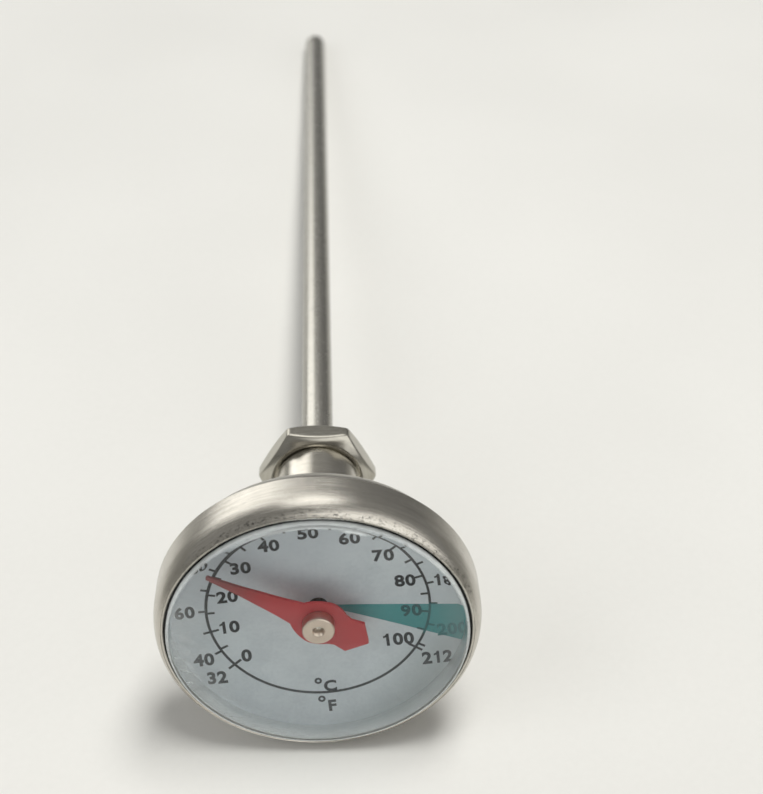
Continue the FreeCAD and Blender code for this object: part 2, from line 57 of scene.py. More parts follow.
# Head
HEAD_RADIUS = 22.5
ROLL_START = -34.0  # y where the bezel's wall starts to curve in
ROLL_RADIAL, ROLL_AXIAL = 1.5, 3.64  # half axes of that curve
BEAD_OUTER, BEAD_INNER = (21.23, -37.54), (20.92, -37.24)  # (radius, y), ends of the lip's bead
BEAD_RADIUS = 0.24
LENS_BACK = -36.05  # the lens flange, resting on the spacer
FLANGE_FRONT = -36.8
LENS_INNER_EDGE, LENS_INNER_POLE = 20.0, -38.86  # radius of the hollow's edge, y of its middle
LENS_OUTER_EDGE, LENS_OUTER_EDGE_Y, LENS_OUTER_POLE = 20.1, -38.2, -43.2

# Dial print
DIAL_Y = -31.66  # front of the plate
FILM_BACK = DIAL_Y - 0.001
PER_DEGREE = 2.515  # degrees of dial for one degree Celsius
TOP_CELSIUS = 50.0  # the reading at twelve o'clock
CIRCLE_RADIUS, CIRCLE_WIDTH, CIRCLE_THICK = 14.41, 0.38, 0.018
MARK_WIDTH, CELSIUS_MARK, FAHRENHEIT_MARK = 0.34, 1.10, 1.02
INK_THICK, SECTOR_THICK = 0.014, 0.008
SECTOR_FROM, SECTOR_TO = 95.4, 113.6  # degrees
SECTOR_OUTER, SECTOR_INNER = 20.6, 1.55
DIGIT_HEIGHT, DIGIT_CELL = 2.02, 1.43
LETTER_HEIGHT = 1.75

# Nut and stem
NUT_TURN = 6.5  # degrees from twelve o'clock to the middle of a flat
NUT_FLAT = 8.0  # from the axis to a flat
NUT_CORNER_BREAK = 0.07425
NUT_FRONT = -4.0
STEM_RADIUS = 2.5
TIP_START = 174.0  # y where the rounded end begins
HELIX_INNER, HELIX_OUTER, STRIP_WIDTH, STRIP_CORNER = 1.45, 1.75, 1.7, 0.05
HELIX_START, HELIX_LENGTH, HELIX_PITCH = 122.2, 44.0, 2.2

# Pointer
POINTER_AT = -54.8  # degrees
BLADE_FRONT, BLADE_BACK, BLADE_EDGE = -34.3, -33.9, 0.07
BLADE_HOLE = 1.65


# --------------------------------------------------------------------------------------------------
# Outlines
# --------------------------------------------------------------------------------------------------

def arc_between(centre, radius, start, end, steps):
    """Points of the shorter arc about the centre, from the direction of start to that of end."""
    first = math.atan2(start[1] - centre[1], start[0] - centre[0])
    last = math.atan2(end[1] - centre[1], end[0] - centre[0])
    turn = (last - first + math.pi) % TAU - math.pi
    angles = [first + turn * k / steps for k in range(steps + 1)]
    return [(centre[0] + radius * math.cos(a), centre[1] + radius * math.sin(a)) for a in angles]


def rounded(points, steps=6):
    """A closed outline of (radius, y) or (radius, y, fillet), with its corners rounded."""
    outline = []
    for i, point in enumerate(points):
        x, y, fillet = (*point, 0.0)[:3]
        if fillet <= 0:
            outline.append((x, y))
            continue
        after = points[(i + 1) % len(points)]
        ax, ay = points[i - 1][0] - x, points[i - 1][1] - y
        bx, by = after[0] - x, after[1] - y
        length_a, length_b = math.hypot(ax, ay), math.hypot(bx, by)
        ax, ay, bx, by = ax / length_a, ay / length_a, bx / length_b, by / length_b
        half = math.acos(max(-1, min(1, ax * bx + ay * by))) / 2
        if half > math.radians(89.5):  # as good as straight
            outline.append((x, y))
            continue
        cut = min(fillet / math.tan(half), length_a * 0.9, length_b * 0.9)
        radius = cut * math.tan(half)
        mid_x, mid_y = ax + bx, ay + by
        mid_length = math.hypot(mid_x, mid_y)
        reach = radius / math.sin(half)
        centre = (x + mid_x / mid_length * reach, y + mid_y / mid_length * reach)
        start, end = (x + ax * cut, y + ay * cut), (x + bx * cut, y + by * cut)
        outline += arc_between(centre, radius, start, end, steps)
    return outline


def dome(edge_radius, edge_y, pole_y, steps):
    """Section of a spherical cap bulging to the front, from its edge to its pole on the axis."""
    rise = edge_y - pole_y
    radius = (edge_radius * edge_radius + rise * rise) / (2 * rise)
    full = math.asin(edge_radius / radius)
    angles = [full * (1 - k / steps) for k in range(steps + 1)]
    return [(radius * math.sin(a), pole_y + (radius - radius * math.cos(a))) for a in angles]


def bead(a, b, radius, steps):
    """Points strictly between a and b, on an arc bulging to the left of the way from a to b."""
    mid_x, mid_y = (a[0] + b[0]) / 2, (a[1] + b[1]) / 2
    chord = math.hypot(b[0] - a[0], b[1] - a[1])
    left_x, left_y = -(b[1] - a[1]) / chord, (b[0] - a[0]) / chord
    offset = math.sqrt(radius * radius - (chord / 2) ** 2)
    centre = (mid_x - left_x * offset, mid_y - left_y * offset)
    return arc_between(centre, radius, a, b, steps)[1:-1]


def turned(x, z, degrees):
    """The point turned clockwise, as seen from the front."""
    t = math.radians(degrees)
    return x * math.cos(t) + z * math.sin(t), -x * math.sin(t) + z * math.cos(t)


def smooth_line(points, steps):
    """A Catmull-Rom curve through open points."""
    curve = []
    last = len(points) - 1
    for i in range(last):
        before, start, end = points[max(i - 1, 0)], points[i], points[i + 1]
        after = points[min(i + 2, last)]
        for k in range(steps):
            t = k / steps
            curve.append(tuple(
                0.5 * (2 * p1 + (p2 - p0) * t + (2 * p0 - 5 * p1 + 4 * p2 - p3) * t * t
                       + (3 * p1 - p0 - 3 * p2 + p3) * t**3)
                for p0, p1, p2, p3 in zip(before, start, end, after)
            ))
    return curve + [points[-1]]


def inset(points, depth):
    """A clockwise outline moved inwards along the mean normal at each point."""
    moved = []
    for i, (x, z) in enumerate(points):
        before, after = points[i - 1], points[(i + 1) % len(points)]
        in_x, in_z = z - before[1], -(x - before[0])
        out_x, out_z = after[1] - z, -(after[0] - x)
        in_length, out_length = math.hypot(in_x, in_z), math.hypot(out_x, out_z)
        normal_x = in_x / in_length + out_x / out_length
        normal_z = in_z / in_length + out_z / out_length
        length = math.hypot(normal_x, normal_z)
        moved.append((x + normal_x / length * depth, z + normal_z / length * depth))
    return moved


# --------------------------------------------------------------------------------------------------
# Meshes
# --------------------------------------------------------------------------------------------------

def link_object(name, data):
    obj = bpy.data.objects.new(name, data)
    bpy.context.scene.collection.objects.link(obj)
    return obj


def finish_mesh(name, bm, body, material, node=None, sharp=32.0):
    """Turns the bmesh into an object riding on a body and standing in for a CAD node."""
    bmesh.ops.remove_doubles(bm, verts=bm.verts, dist=1e-8)
    bmesh.ops.recalc_face_normals(bm, faces=bm.faces)
    mesh = bpy.data.meshes.new(name)
    bm.to_mesh(mesh)
    bm.free()
    for polygon in mesh.polygons:
        polygon.use_smooth = True
    mesh.set_sharp_from_angle(angle=math.radians(sharp))
    obj = link_object(name, mesh)
    mesh.materials.append(material)
    if body:
        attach(obj, body)
    if node:
        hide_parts(node)
    return obj


def add_ring(bm, count, section):
    """A ring of vertices about Y; section(angle) gives (radius, y), the angle starting at +Z."""
    ring = []
    for k in range(count):
        angle = TAU * k / count
        r, y = section(angle)
        ring.append(bm.verts.new((r * math.sin(angle) * MM, y * MM, r * math.cos(angle) * MM)))
    return ring


def join_rings(bm, rings, closed=True):
    """Faces between successive rings; a ring of one vertex is a pole."""
    followers = rings[1:] + rings[:1] if closed else rings[1:]
    for a, b in zip(rings, followers):
        count = max(len(a), len(b))
        if count == 1:
            continue
        for k in range(count):
            after = (k + 1) % count
            if len(a) == 1:
                face = (a[0], b[after], b[k])
            elif len(b) == 1:
                face = (a[k], a[after], b[0])
            else:
                face = (a[k], a[after], b[after], b[k])
            bm.faces.new(face)


def revolve(outline, segments, wobble=None):
    """A closed outline of (radius, y) turned about Y; wobble(r, y, angle) shifts each point."""
    bm = bmesh.new()
    rings = []
    for r, y in outline:
        if r < 1e-6:
            rings.append([bm.verts.new((0, y * MM, 0))])
        else:
            rings.append(add_ring(
                bm, segments, lambda angle: wobble(r, y, angle) if wobble else (r, y)))
    join_rings(bm, rings)
    return bm


def lathe(name, profile, body, material, node=None,
          segments=256, steps=6, sharp=32.0, wobble=None):
    bm = revolve(rounded(profile, steps), segments, wobble)
    return finish_mesh(name, bm, body, material, node, sharp)


def add_slab(bm, front_points, back_points):
    """A closed flat piece between two matching outlines."""
    front = [bm.verts.new(point) for point in front_points]
    back = [bm.verts.new(point) for point in back_points]
    bm.faces.new(front)
    bm.faces.new(back[::-1])
    for i in range(len(front)):
        j = (i + 1) % len(front)
        bm.faces.new((front[j], front[i], back[i], back[j]))


# --------------------------------------------------------------------------------------------------
# Node graphs
# --------------------------------------------------------------------------------------------------

class Graph:
    """Builds the node tree of a material or a world. Places are object coordinates."""

    def __init__(self, owner):
        self.owner = owner
        owner.use_nodes = True
        self.tree = owner.node_tree
        self.tree.nodes.clear()

    def add(self, kind, inputs=None, **props):
        node = self.tree.nodes.new(kind)
        for key, value in props.items():
            setattr(node, key, value)
        for key, value in (inputs or {}).items():
            socket = node.inputs[key]
            if isinstance(value, bpy.types.NodeSocket):
                self.tree.links.new(value, socket)
            else:
                socket.default_value = value
        return node

    def math(self, operation, a, b=0.0):
        return self.add("ShaderNodeMath", {0: a, 1: b}, operation=operation).outputs[0]

    def plus(self, a, b):
        return self.math("ADD", a, b)

    def times(self, a, b):
        return self.math("MULTIPLY", a, b)

    def larger(self, a, b):
        return self.math("MAXIMUM", a, b)

    def weighted(self, *pairs):
        """The sum of (value, weight) pairs."""
        terms = [self.times(value, weight) for value, weight in pairs]
        total = terms.pop()
        while terms:
            total = self.plus(terms.pop(), total)
        return total

    def add_to(self, base, *pairs):
        """The base with (value, weight) pairs added one by one."""
        for value, weight in pairs:
            base = self.plus(base, self.times(value, weight))
        return base

    def vmath(self, operation, a, b=None):
        inputs = {0: a} if b is None else {0: a, 1: b}
        node = self.add("ShaderNodeVectorMath", inputs, operation=operation)
        return node.outputs["Value" if operation == "DOT_PRODUCT" else "Vector"]

    def ramp(self, value, over, to=(0.0, 1.0), smooth=True):
        """Maps the range `over` to the range `to`."""
        return self.add(
            "ShaderNodeMapRange",
            {"Value": value, "From Min": over[0], "From Max": over[1],
             "To Min": to[0], "To Max": to[1]},
            interpolation_type="SMOOTHSTEP" if smooth else "LINEAR",
        ).outputs["Result"]

    def near(self, value, centre, over):
        """One close to the centre, falling to nothing over that range of distance."""
        distance = self.math("ABSOLUTE", self.math("SUBTRACT", value, centre))
        return self.ramp(distance, over=over, to=(1.0, 0.0))

    def mix(self, fac, a, b):
        """Colour a turning into colour b as fac rises."""
        a, b = [v if isinstance(v, bpy.types.NodeSocket) else (*v, 1) for v in (a, b)]
        inputs = {"Factor": fac, 6: a, 7: b}  # 6 and 7 are the colour sockets
        return self.add("ShaderNodeMix", inputs, data_type="RGBA").outputs[2]

    def noise(self, vector, scale, detail=2.0, rough=0.5, w=None, distortion=0.0):
        inputs = {"Vector": vector, "Scale": scale, "Detail": detail, "Roughness": rough,
                  "Distortion": distortion}
        if w is not None:
            inputs["W"] = w
        dims = "3D" if w is None else "4D"
        return self.add("ShaderNodeTexNoise", inputs, noise_dimensions=dims).outputs[0]

    @cached_property
    def mm(self):
        place = self.add("ShaderNodeTexCoord").outputs["Object"]
        scaling = {0: place, "Scale": 1 / MM}
        return self.add("ShaderNodeVectorMath", scaling, operation="SCALE").outputs["Vector"]

    @cached_property
    def axes(self):
        return self.add("ShaderNodeSeparateXYZ", {0: self.mm}).outputs

    x = property(lambda self: self.axes[0])
    y = property(lambda self: self.axes[1])
    z = property(lambda self: self.axes[2])

    @cached_property
    def radius(self):
        squares = self.plus(self.times(self.x, self.x), self.times(self.z, self.z))
        return self.math("SQRT", squares)

    @cached_property
    def safe_radius(self):
        return self.larger(self.radius, 0.001)

    @cached_property
    def unit_x(self):
        return self.math("DIVIDE", self.x, self.safe_radius)

    @cached_property
    def unit_z(self):
        return self.math("DIVIDE", self.z, self.safe_radius)

    def around(self, turn_scale, y_scale):
        """A vector that changes with the angle round the axis and with y, at those rates."""
        return self.add("ShaderNodeCombineXYZ", {
            0: self.times(self.unit_x, turn_scale),
            1: self.times(self.y, y_scale),
            2: self.times(self.unit_z, turn_scale),
        }).outputs[0]

    def lines_round(self, across, along, detail=3.0, rough=0.55):
        """Lines round the axis: quick to change with radius and y, slow to change round it."""
        return self.noise(self.around(turn_scale=along, y_scale=across), scale=1.0,
                          detail=detail, rough=rough, w=self.times(self.radius, across))

    def bump(self, height, depth):
        inputs = {"Strength": 1.0, "Distance": depth * MM, "Height": height}
        return self.add("ShaderNodeBump", inputs).outputs[0]

    def output(self, surface, kind="ShaderNodeOutputMaterial"):
        self.add(kind, {0: surface})
        return self.owner


def material_graph(name):
    return Graph(bpy.data.materials.new(name))


def scaled(colour, factor):
    return tuple(v * factor for v in colour)


# --------------------------------------------------------------------------------------------------
# Materials
# --------------------------------------------------------------------------------------------------

def scuffed(g, colour, base, amount):
    """Dark nicks along the bezel's front bead, most of them over the top and to its right."""
    nick = g.times(g.lines_round(across=4.5, along=26.0, detail=4.0, rough=0.7),
                   g.noise(g.mm, scale=2.6, detail=5.0, rough=0.72, distortion=1.2))
    over_top = g.ramp(g.add_to(g.unit_z, (g.unit_x, 0.35)), over=(-0.25, 0.85), to=(0.12, 1.0))
    where = g.times(g.ramp(g.y, over=(-36.55, -37.15)), over_top)
    worn = g.times(g.ramp(nick, over=(0.255, 0.345), to=(0.0, amount)), where)
    return g.mix(worn, colour, scaled(base, 0.16))


def steel(name, base, dark, rough, across, along, bump,
          aniso=0.6, spots=0.25, seed=0.0, lengthwise=False, limb=0.0, scuff=0.0):
    """Worked metal with fine lines in it.

    across, along: how fast the lines change across and along their run; bump: their depth;
    spots: strength of the smudges; lengthwise: lines along the stem instead of round it;
    limb: painted shade where the surface turns away from the eye; scuff: strength of the bezel's
    nicks.
    """
    g = material_graph(name)
    if lengthwise:
        fine = g.noise(g.around(turn_scale=across * 2.2, y_scale=along * 0.05),
                       scale=1.0, detail=3.0, rough=0.55)
        broad = g.lines_round(across * 0.3, along * 0.5)
    else:
        fine = g.lines_round(across, along)
        broad = g.lines_round(across * 0.16, along * 0.35, detail=2.0)
    shifted = g.vmath("ADD", g.mm, (seed, seed * 1.7, -seed))
    cloud = g.noise(shifted, scale=0.33, detail=4.0, rough=0.55)
    grain = g.noise(shifted, scale=7.5, detail=3.0, rough=0.6)
    patches = g.noise(shifted, scale=0.85, detail=5.0, rough=0.62, distortion=0.6)
    smudge = g.ramp(patches, over=(0.52, 0.78))

    tone = g.weighted((fine, 0.5), (broad, 0.3), (cloud, 0.2))
    colour = g.mix(g.ramp(tone, over=(0.33, 0.67), smooth=False), dark, base)
    colour = g.mix(g.times(smudge, spots), colour, scaled(base, 0.62))
    # Painted shade along the edges, where the surface turns away from the eye
    if limb:
        side_on = g.add("ShaderNodeLayerWeight", {"Blend": 0.5}).outputs["Facing"]
        amount = g.times(g.ramp(side_on, over=(0.34, 0.80)), limb)
        colour = g.mix(amount, colour, scaled(base, 0.25))
    if scuff:
        colour = scuffed(g, colour, base, scuff)

    # The textures only add to the roughness, so it starts a little below its nominal value.
    roughness = g.add_to(rough - 0.06, (fine, 0.10), (smudge, 0.07), (grain, 0.03))
    tangent = g.add("ShaderNodeTangent", direction_type="RADIAL", axis="Y").outputs[0]
    return g.output(g.add("ShaderNodeBsdfPrincipled", {
        "Base Color": colour,
        "Metallic": 1.0,
        "Roughness": roughness,
        "Anisotropic": aniso,
        "Normal": g.bump(g.weighted((fine, 1.0), (grain, 0.35)), bump),
        "Tangent": tangent,
        "Anisotropic Rotation": 0.25 if lengthwise else 0.0,
    }).outputs[0])


def paint(name, colour, dark, rough, bump, grain_scale=5.0, spec=0.4, mottle=0.5, seed=3.0,
          shade_and_tone=None):
    """Paint, ink or rubber.

    bump: depth of the grain; mottle: share of broad clouds against grain in the tone;
    wear(graph, colour, cloud): a last change to the colour, such as painted shade on the plate and
    needle.
    """
    g = material_graph(name)
    shifted = g.vmath("ADD", g.mm, (seed, -seed, seed * 0.5))
    cloud = g.noise(shifted, scale=0.22, detail=4.0, rough=0.6)
    grain = g.noise(shifted, scale=grain_scale, detail=4.0, rough=0.65)
    speck = g.ramp(g.noise(shifted, scale=grain_scale * 0.37), over=(0.70, 0.80))
    tone = g.weighted((cloud, mottle), (grain, 1 - mottle))
    shade = g.mix(g.ramp(tone, over=(0.35, 0.65)), dark, colour)
    shade = g.mix(g.times(speck, 0.35), shade, scaled(colour, 0.7))
    if shade_and_tone:
        shade = shade_and_tone(g, shade, cloud)
    return g.output(g.add("ShaderNodeBsdfPrincipled", {
        "Base Color": shade,
        "Roughness": g.add_to(rough - 0.06, (grain, 0.12)),
        "Specular IOR Level": spec,
        "Normal": g.bump(grain, bump),
    }).outputs[0])


def lens_film(g, dust, smear):
    """Share of the pale layer: more at the lower left, a painted highlight on the rim, two painted
    glares.
    """
    lower_left = g.ramp(g.weighted((g.unit_x, -0.80), (g.unit_z, -0.60)), over=(0.05, 0.95))
    edge = g.ramp(g.radius, over=(12.5, 19.5))
    film = g.times(g.times(lower_left, edge), g.add_to(0.09, (smear, 0.20)))
    film = g.add_to(film, (edge, 0.02), (dust, 0.008))
    film = g.times(film, g.ramp(g.y, over=(-38.4, -38.2), to=(1.0, 0.0)))

    # Painted highlight on the side of the rim, half as strong over the top
    rim = g.times(g.ramp(g.radius, over=(20.12, 20.40)),
                  g.ramp(g.y, over=(-37.45, -37.20), to=(1.0, 0.0)))
    rim = g.times(rim, g.ramp(g.unit_z, over=(0.50, 0.85), to=(1.0, 0.50)))
    film = g.larger(film, g.times(rim, g.add_to(0.72, (smear, 0.20))))

    # Painted highlights: a glare along the top of the edge and a small spot to its right
    top_glare = g.times(g.ramp(g.radius, over=(19.85, 20.05)),
                        g.ramp(g.unit_z, over=(0.84, 0.95), to=(0.0, 0.45)))
    spot = g.times(g.near(g.unit_x, centre=0.34, over=(0.02, 0.12)),
                   g.near(g.radius, centre=19.85, over=(0.04, 0.26)))
    spot = g.times(spot, g.ramp(g.unit_z, over=(0.5, 0.7), to=(0.0, 0.75)))
    forward = g.ramp(g.y, over=(-38.05, -38.2))
    return g.larger(film, g.times(forward, g.larger(top_glare, spot)))


def glass(name, ior=1.49):
    """Clear glass that lets shadow and diffuse rays straight through, under a pale layer in places.
    """
    g = material_graph(name)
    dust = g.noise(g.mm, scale=1.7, detail=6.0, rough=0.72, distortion=0.8)
    dust = g.ramp(dust, over=(0.50, 0.78))
    long_in_xy = g.vmath("MULTIPLY", g.mm, (0.5, 0.5, 1.0))
    smear = g.noise(long_in_xy, scale=0.55, detail=5.0, rough=0.65, distortion=1.2)
    smear = g.ramp(smear, over=(0.42, 0.66))

    through = g.add("ShaderNodeBsdfRefraction", {
        "Color": (0.985, 0.995, 0.995, 1), "Roughness": 0.0, "IOR": ior}).outputs[0]
    mirror = g.add("ShaderNodeBsdfAnisotropic", {
        "Color": (1, 1, 1, 1), "Roughness": g.add_to(0.0, (dust, 0.015))}).outputs[0]
    fresnel = g.add("ShaderNodeFresnel", {"IOR": ior}).outputs[0]
    share = g.times(fresnel, g.ramp(g.radius, over=(15.0, 20.0), to=(0.42, 0.85)))
    pane = g.add("ShaderNodeMixShader", {0: share, 1: through, 2: mirror}).outputs[0]

    clear = g.add("ShaderNodeBsdfTransparent", {"Color": (0.975, 0.985, 0.985, 1)}).outputs[0]
    path = g.add("ShaderNodeLightPath").outputs
    pass_through = g.larger(path["Is Shadow Ray"], path["Is Diffuse Ray"])
    clean = g.add("ShaderNodeMixShader", {0: pass_through, 1: pane, 2: clear}).outputs[0]
    # The pale layer, which also carries the painted highlights on the rim and at the top
    film = g.add("ShaderNodeBsdfDiffuse", {"Color": (0.80, 0.84, 0.84, 1)}).outputs[0]
    veil = lens_film(g, dust, smear)
    return g.output(g.add("ShaderNodeMixShader", {0: veil, 1: clean, 2: film}).outputs[0])


def worn_print(g, colour, cloud):
    """Print paler towards the foot of the dial, by height alone, and thin on the coloured sector.
    """
    paler = g.plus(g.ramp(g.z, over=(7.0, -15.0), to=(0.0, 0.62)),
                   g.ramp(cloud, over=(0.45, 0.7), to=(0.0, 0.12)))
    colour = g.mix(paler, colour, (0.10, 0.11, 0.12))
    height = g.times(g.ramp(g.unit_z, over=(-0.46, -0.40)),
                     g.ramp(g.unit_z, over=(-0.10, -0.06), to=(1.0, 0.0)))
    on_sector = g.times(g.ramp(g.unit_x, over=(0.70, 0.80)), height)
    thin = g.times(on_sector, g.ramp(g.radius, over=(13.5, 16.0), to=(0.40, 0.78)))
    return g.mix(thin, colour, (0.035, 0.24, 0.25))


def shaded_plate(g, colour, cloud):
    """Painted shade: the plate is darker over the top, in the rim's shade, and towards its lower
    right edge.
    """
    lower_right = g.weighted((g.x, 0.75), (g.z, -0.66))
    lower_right = g.ramp(lower_right, over=(10.5, 19.5), to=(0.0, 0.50))
    colour = g.mix(lower_right, colour, (0.40, 0.45, 0.44))
    top = g.math("SUBTRACT", g.z, g.times(g.x, 0.4))
    return g.mix(g.ramp(top, over=(1.0, 15.0), to=(0.0, 0.42)), colour, (0.47, 0.50, 0.57))


def stained_tip(g, colour, cloud):
    """Painted shade: the needle's red darkens towards its tip, which lies in the rim's shade."""
    tip_shade = g.times(g.ramp(g.radius, over=(6.5, 14.0), to=(0.0, 0.72)),
                    g.ramp(cloud, over=(0.3, 0.6), to=(0.85, 1.0)))
    return g.mix(tip_shade, colour, (0.20, 0.060, 0.055))


RING = steel("ring_brushed", base=(0.66, 0.63, 0.575), dark=(0.47, 0.445, 0.395), rough=0.20,
             across=7.0, along=4.0, aniso=0.5, bump=0.030, spots=0.35, scuff=0.85)
CASE = steel("case_satin", base=(0.50, 0.48, 0.44), dark=(0.38, 0.36, 0.33), rough=0.30,
             across=6.0, along=4.0, aniso=0.45, bump=0.012, seed=7.0)
NECK = steel("neck_turned", base=(0.66, 0.63, 0.57), dark=(0.52, 0.49, 0.43), rough=0.16,
             across=8.0, along=3.0, aniso=0.45, bump=0.008, seed=11.0)
NUT = steel("nut_milled", base=(0.54, 0.52, 0.46), dark=(0.40, 0.38, 0.335), rough=0.14,
            across=4.0, along=3.0, aniso=0.25, bump=0.006, seed=17.0, spots=0.35)
STEM = steel("stem_drawn", base=(0.66, 0.64, 0.585), dark=(0.56, 0.54, 0.49), rough=0.24,
             across=5.0, along=4.0, aniso=0.2, bump=0.006, seed=23.0, lengthwise=True, limb=0.55)
SPACER = steel("spacer_bright", base=(0.84, 0.86, 0.85), dark=(0.74, 0.76, 0.76), rough=0.42,
               across=6.0, along=4.0, aniso=0.4, bump=0.006, seed=29.0)
HUB = steel("hub_turned", base=(0.64, 0.53, 0.44), dark=(0.52, 0.42, 0.35), rough=0.32,
            across=16.0, along=2.0, aniso=0.6, bump=0.006, seed=31.0, spots=0.2)
BRASS = steel("brass_turned", base=(0.72, 0.52, 0.24), dark=(0.55, 0.38, 0.16), rough=0.28,
              across=9.0, along=4.0, bump=0.008, seed=37.0)
BIMETAL = steel("bimetal_strip", base=(0.60, 0.57, 0.53), dark=(0.42, 0.38, 0.34), rough=0.30,
                across=5.0, along=4.0, bump=0.006, seed=41.0)
LENS = glass("lens_clear")
GASKET = paint("gasket_rubber", colour=(0.022, 0.021, 0.020), dark=(0.012, 0.012, 0.011),
               rough=0.62, bump=0.02)
RUBBER = paint("o_ring_rubber", colour=(0.03, 0.03, 0.03), dark=(0.016, 0.016, 0.016),
               rough=0.55, bump=0.02, seed=5.0)
DIAL = paint("dial_enamel", colour=(0.735, 0.785, 0.825), dark=(0.64, 0.69, 0.735), rough=0.42,
             grain_scale=2.2, spec=0.35, bump=0.004, mottle=0.55, shade_and_tone=shaded_plate)
INK = paint("dial_ink", colour=(0.014, 0.014, 0.017), dark=(0.006, 0.006, 0.009), rough=0.6,
            grain_scale=9.0, bump=0.003, spec=0.08, shade_and_tone=worn_print)
TEAL = paint("dial_teal", colour=(0.040, 0.31, 0.32), dark=(0.030, 0.265, 0.275), rough=0.45,
             grain_scale=4.0, bump=0.003, seed=9.0)
RED = paint("pointer_enamel", colour=(0.54, 0.044, 0.050), dark=(0.44, 0.032, 0.038), rough=0.45,
            grain_scale=6.0, spec=0.30, bump=0.006, seed=13.0, shade_and_tone=stained_tip)


# --------------------------------------------------------------------------------------------------
# Head: every profile's columns are radius, y and, where there is one, fillet
# --------------------------------------------------------------------------------------------------

def ring_wobble(r, y, angle):
    """Rolling leaves the ring's wall very slightly uneven."""
    uneven = (0.010 * math.sin(3 * angle + 0.7) + 0.007 * math.sin(7 * angle + y * 0.8)
              + 0.004 * math.sin(13 * angle + 2.1 + y))
    on_wall = min(1.0, max(0.0, (r - 21.4) * 2))
    on_front = 1 if y < -36.9 else 0
    return r + uneven * on_wall, y + 0.010 * math.sin(5 * angle + 1.3) * on_front


def build_bezel():
    roll = []
    for degrees in range(4, 77, 3):
        t = math.radians(degrees)
        roll.append((HEAD_RADIUS - ROLL_RADIAL + ROLL_RADIAL * math.cos(t),
                     ROLL_START - ROLL_AXIAL * math.sin(t)))
    profile = [
        (21.5, -30.5, 0.08), (22.28, -30.5, 0.2), (HEAD_RADIUS, -30.78, 0.2),
        (HEAD_RADIUS, ROLL_START), *roll,
        (21.33, -37.60), (21.29, -37.57), (21.26, -37.53),
        BEAD_OUTER, *bead(BEAD_OUTER, BEAD_INNER, BEAD_RADIUS, steps=8), BEAD_INNER,
        (20.90, -37.07, 0.03), (21.45, -37.07, 0.1), (21.9, -36.2, 0.4),
        (21.9, -31.0, 0.1), (21.5, -31.0, 0.05),
    ]
    lathe("bezel_ring_rolled", profile, "head", RING, "bezel_ring",
          segments=384, sharp=40, wobble=ring_wobble)


def build_lens():
    flange = [
        (LENS_INNER_EDGE, LENS_BACK), (21.5, LENS_BACK, 0.08), (21.5, FLANGE_FRONT, 0.08),
        (20.6, FLANGE_FRONT, 0.05), (20.6, -38.04, 0.08), (LENS_OUTER_EDGE, LENS_OUTER_EDGE_Y),
    ]
    outline = (
        dome(LENS_INNER_EDGE, LENS_BACK, LENS_INNER_POLE, steps=40)[::-1]
        + rounded(flange, steps=5)[1:-1]
        + dome(LENS_OUTER_EDGE, LENS_OUTER_EDGE_Y, LENS_OUTER_POLE, steps=56)
    )
    finish_mesh("lens_domed", revolve(outline, 256), "head", LENS, "lens", sharp=24)


def build_seal():
    profile = [
        (20.63, FLANGE_FRONT, 0.05), (21.4, FLANGE_FRONT, 0.05),
        (21.4, -37.05, 0.08), (20.63, -37.05, 0.08),
    ]
    lathe("lens_seal", profile, "head", GASKET, "lens_gasket")


def build_spacer():
    profile = [
        (19.7, DIAL_Y, 0.06), (21.2, DIAL_Y, 0.1), (21.2, LENS_BACK, 0.1),
        (20.1, LENS_BACK, 0.08), (19.95, -35.9, 0.08),
    ]
    lathe("spacer_wall", profile, "head", SPACER, "spacer_ring")


def build_case():
    profile = [
        (21.25, -36.0, 0.1), (21.85, -36.0, 0.2), (21.85, -31.05, 0.15), (21.45, -31.05, 0.05),
        (21.45, -26.0, 4.3), (4.6, -26.0, 0.1), (4.6, -26.6, 0.1), (20.85, -26.6, 3.7),
        (20.85, -30.4, 0.05), (21.25, -30.8, 0.1),
    ]
    lathe("case_cup_drawn", profile, "head", CASE, "case_cup",
          segments=320, steps=12, sharp=40)


def build_neck():
    profile = [
        (4.08, -27.55, 0.1), (4.55, -27.55, 0.15), (4.55, -26.0), (7.3, -25.98, 0.05),
        (6.7, -25.35, 0.55), (6.7, -4.8, 0.12), (6.4, -4.5, 0.12), (5.2, -4.5, 0.1),
        (5.2, -20.0), (4.08, -20.0, 0.1),
    ]
    lathe("neck_sleeve_turned", profile, "head", NECK, "neck_sleeve",
          steps=8, sharp=40)


# --------------------------------------------------------------------------------------------------
# Dial print: films a few hundredths of a millimetre thick or less, on the plate
# --------------------------------------------------------------------------------------------------

# (reading, radius of the number's middle)
CELSIUS_NUMBERS = [
    (0, 12.35), (10, 11.95), (20, 11.78), (30, 11.95), (40, 12.15), (50, 12.55),
    (60, 12.2), (70, 11.95), (80, 11.9), (90, 12.0), (100, 11.75),
]
FAHRENHEIT_NUMBERS = [
    (32, 17.6), (40, 17.2), (60, 17.3), (80, 17.3), (100, 17.4), (120, 17.2),
    (140, 17.4), (160, 17.4), (180, 17.5), (200, 17.9), (212, 17.8),
]
# The digit 1 as (x, y), one unit high
ONE_OUTLINE = [
    (0.20, 0.0), (0.40, 0.0), (0.40, 1.0), (0.25, 1.0), (0.20, 0.90),
    (0.13, 0.83), (0.02, 0.79), (0.02, 0.64), (0.20, 0.70),
]
DEGREE_OUTER, DEGREE_INNER = 0.24, 0.10  # radii of the degree sign in the same units


def celsius_angle(celsius):
    return (celsius - TOP_CELSIUS) * PER_DEGREE


def fahrenheit_angle(fahrenheit):
    return celsius_angle((fahrenheit - 32) / 1.8)


